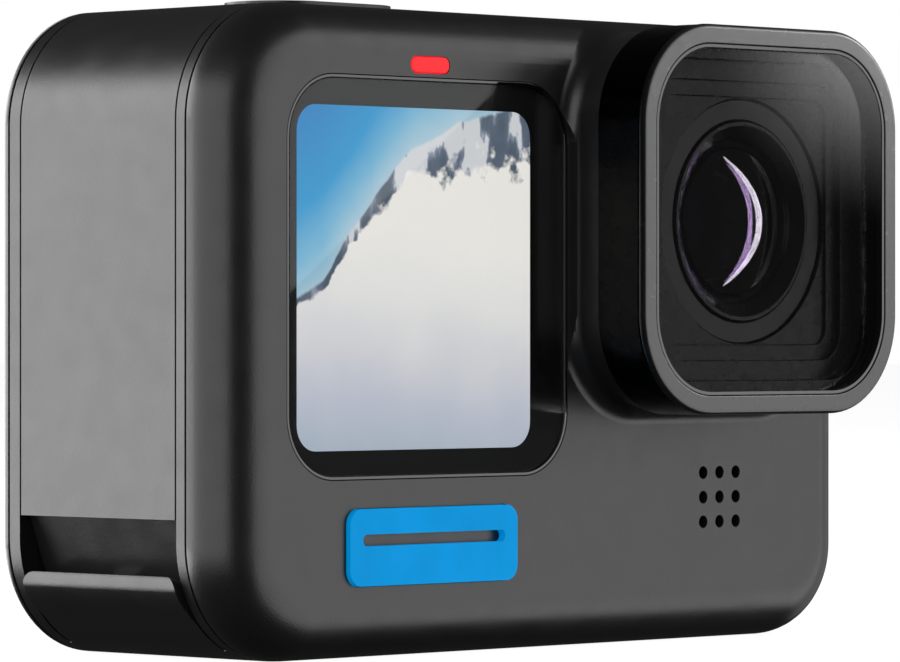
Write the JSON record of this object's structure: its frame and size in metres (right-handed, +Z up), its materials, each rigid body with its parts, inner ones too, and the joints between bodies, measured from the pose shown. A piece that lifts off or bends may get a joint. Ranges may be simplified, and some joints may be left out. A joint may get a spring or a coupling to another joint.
{
  "type": "action camera",
  "caption": "Pocket action camera with a front screen, a square lens housing with a twist-off cover, a hinged side door, push buttons and folding mount fingers.",
  "frame": {"origin": "under the middle of the camera, on the surface that it stands on", "axes": "+X from the door side to the lens side, -Y out of the front face, +Z up"},
  "size_m": [0.0718, 0.0336, 0.0508],
  "materials": {
    "body_coat": "soft-touch dark grey",
    "black_plastic": "satin black",
    "inner_plastic": "matt black",
    "screen_glass": "black glass",
    "cover_glass": "clear, coated",
    "lens_glass": "coated optical glass",
    "display_panel": "lit display",
    "dark_panel": "display that is off",
    "steel": "plain steel",
    "aluminium": "blank sheet",
    "circuit_board": "solder mask",
    "seal_rubber": "silicone",
    "accent_blue": "satin blue",
    "light_red": "red light window",
    "cell_wrap": "printed wrap"
  },
  "bodies": {
    "camera_body": {"front_housing": "body_coat", "chassis_frame": "body_coat", "rear_housing": "body_coat", "base_plate": "black_plastic", "rear_lens": "lens_glass", "lens_barrel": "black_plastic", "front_lens": "lens_glass", "lens_mount_ring": "inner_plastic", "usb_port": "steel", "accent_badge": "accent_blue", "front_screen_glass": "screen_glass", "rear_touch_glass": "screen_glass", "shutter_spring": "steel", "mode_spring": "steel", "front_display": "display_panel", "record_light": "light_red", "rear_display": "dark_panel", "housing_screw_1": "steel", "housing_screw_2": "steel", "housing_screw_3": "steel", "housing_screw_4": "steel", "speaker": "black_plastic", "base_screw_left": "steel", "base_screw_right": "steel", "door_hinge_pin": "steel", "shutter_switch": "steel", "mode_switch": "steel", "finger_pin_left": "steel", "finger_pin_right": "steel", "card_socket": "steel", "microphone_board": "circuit_board", "image_sensor": "dark_panel", "sensor_board": "circuit_board", "battery": "cell_wrap", "battery_pull_tab": "black_plastic", "heat_spreader": "aluminium", "main_board": "circuit_board", "image_processor": "black_plastic"},
    "door": {"side_door": "body_coat", "door_seal": "seal_rubber", "latch_spring": "steel"},
    "latch": {"door_latch": "body_coat"},
    "lens_cover": {"lens_cover_frame": "black_plastic", "lens_cover_glass": "cover_glass", "lens_cover_seal": "seal_rubber"},
    "shutter": {"shutter_button": "black_plastic"},
    "mode": {"mode_button": "black_plastic"},
    "card": {"memory_card": "black_plastic"},
    "left_finger": {"finger_left": "black_plastic"},
    "right_finger": {"finger_right": "black_plastic"}
  },
  "joints": [
    {"name": "door_hinge", "type": "hinge", "parent": "camera_body", "child": "door", "pos_m": [-0.0269, 0, 0.04884], "axis": [0, 1, 0], "range_deg": [0, 90]},
    {"name": "latch_slide", "type": "slide", "parent": "door", "child": "latch", "axis": [0, 0, -1], "range_m": [0, 0.001], "stiffness_N_per_m": 800},
    {"name": "cover_twist", "type": "hinge", "parent": "camera_body", "child": "lens_cover", "pos_m": [0.01648, 0, 0.034], "axis": [0, -1, 0], "range_deg": [0, 45]},
    {"name": "shutter_press", "type": "slide", "parent": "camera_body", "child": "shutter", "axis": [0, 0, -1], "range_m": [0, 0.00045], "stiffness_N_per_m": 1500},
    {"name": "mode_press", "type": "slide", "parent": "camera_body", "child": "mode", "axis": [-1, 0, 0], "range_m": [0, 0.0004], "stiffness_N_per_m": 1500},
    {"name": "card_push", "type": "slide", "parent": "camera_body", "child": "card", "axis": [1, 0, 0], "range_m": [0, 0.0008], "stiffness_N_per_m": 500},
    {"name": "finger_left_fold", "type": "hinge", "parent": "camera_body", "child": "left_finger", "pos_m": [-0.00315, 0, 0.00165], "axis": [0, -1, 0], "range_deg": [0, 90]},
    {"name": "finger_right_fold", "type": "hinge", "parent": "camera_body", "child": "right_finger", "pos_m": [0.00315, 0, 0.00165], "axis": [0, 1, 0], "range_deg": [0, 90]}
  ]
}
